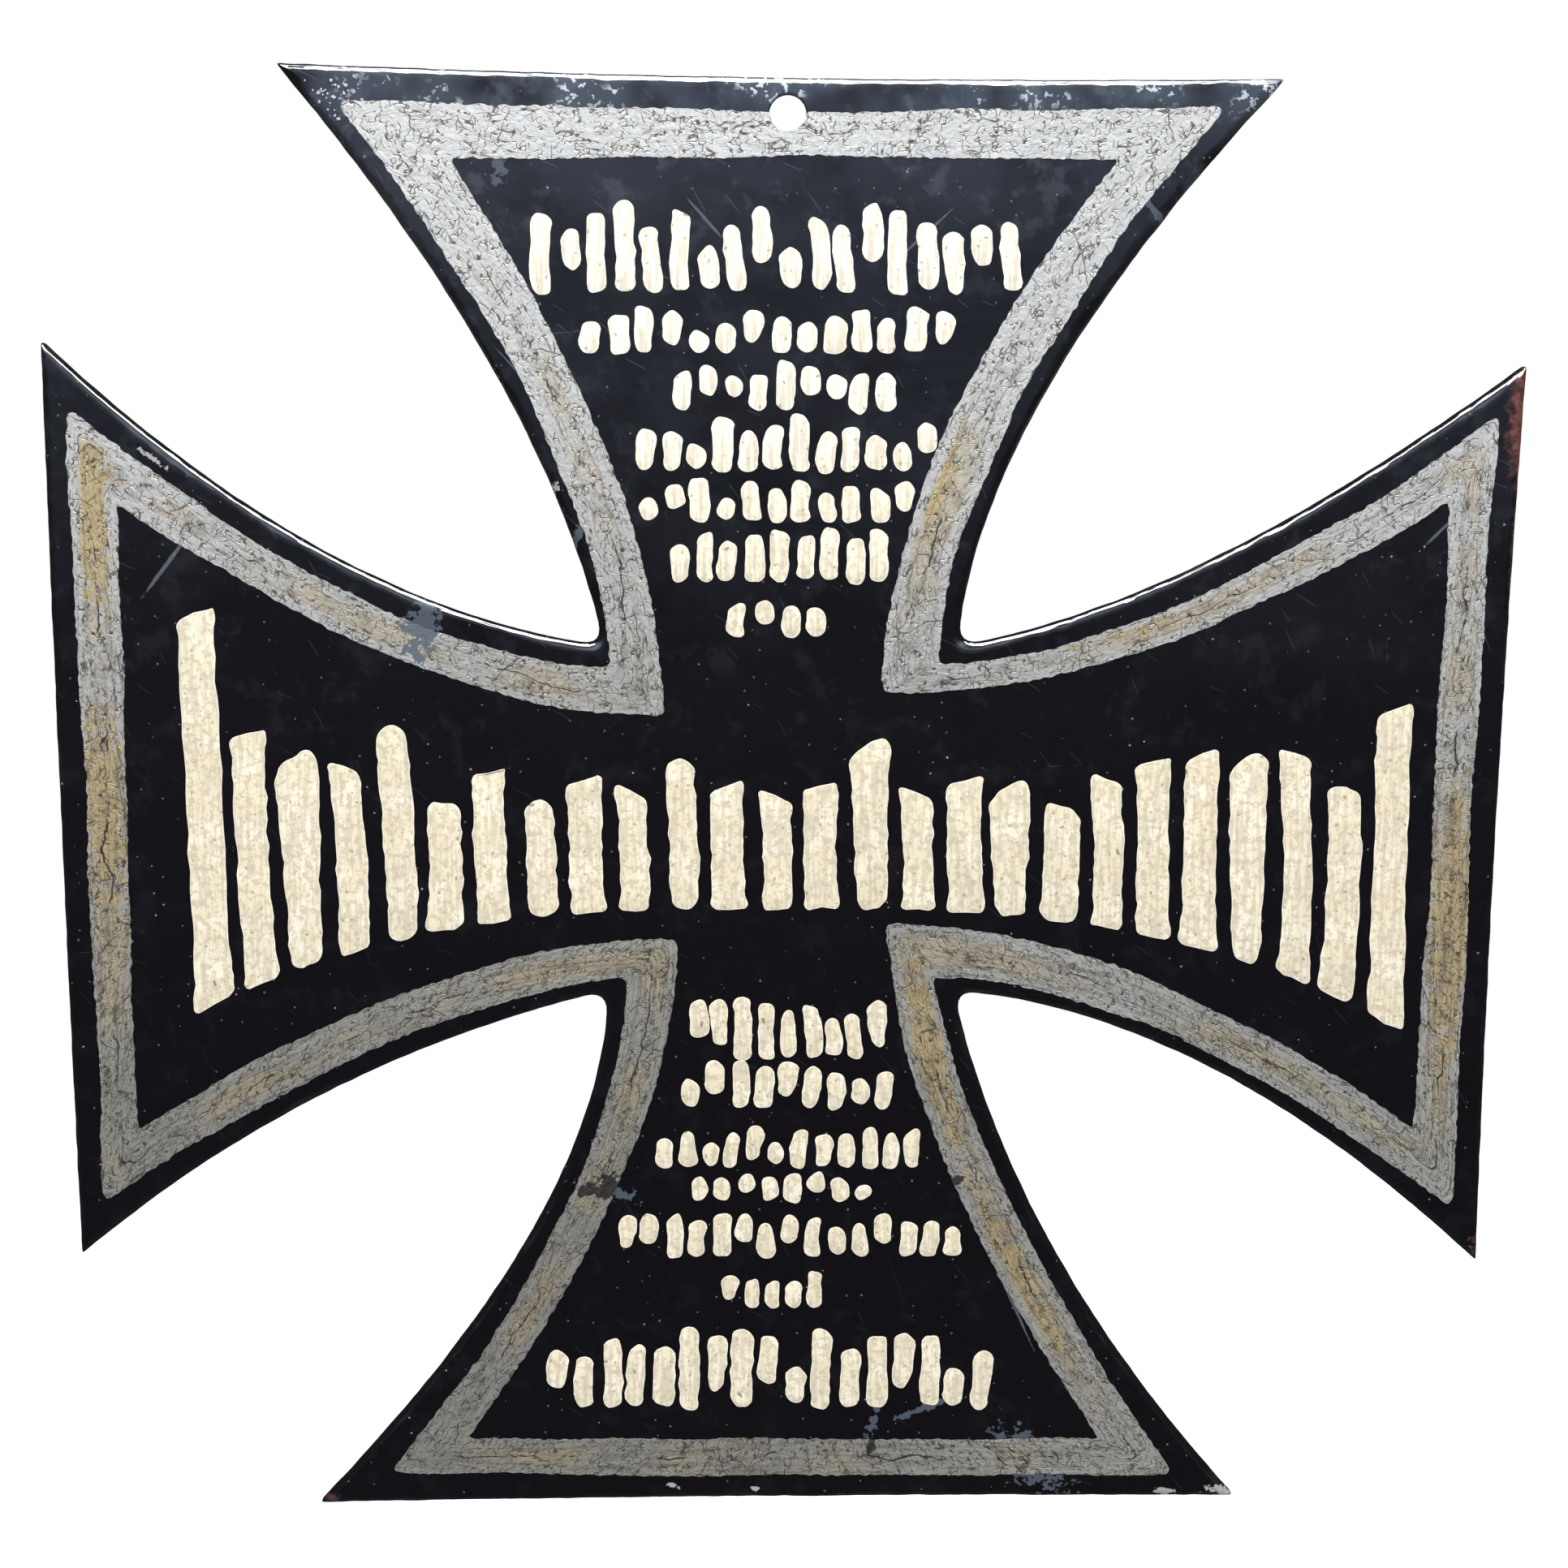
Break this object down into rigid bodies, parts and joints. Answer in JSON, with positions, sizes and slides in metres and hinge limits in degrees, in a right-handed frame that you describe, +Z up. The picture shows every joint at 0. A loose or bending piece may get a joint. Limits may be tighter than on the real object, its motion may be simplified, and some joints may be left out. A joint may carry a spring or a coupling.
{
  "type": "grave cross",
  "caption": "Flat painted cross with four flared arms, hung by one hole near its top edge, with a brushed silver border line and rows of cream strokes.",
  "frame": {"origin": "centre of the hanging hole on the plate's back face", "axes": "+X to the right as seen from the front, +Y out of the back face, +Z up; the front faces -Y"},
  "size_m": [0.2509, 0.003, 0.253],
  "materials": {
    "enamel": "glossy black enamel paint, scratched and worn at the edges",
    "silver_paint": "brushed silver bronze paint, wrinkled, cracked and tarnished gold-brown in places",
    "cream_paint": "cream enamel paint, brushed on by hand"
  },
  "bodies": {
    "root": {"cross_plate": "enamel"}
  },
  "joints": []
}
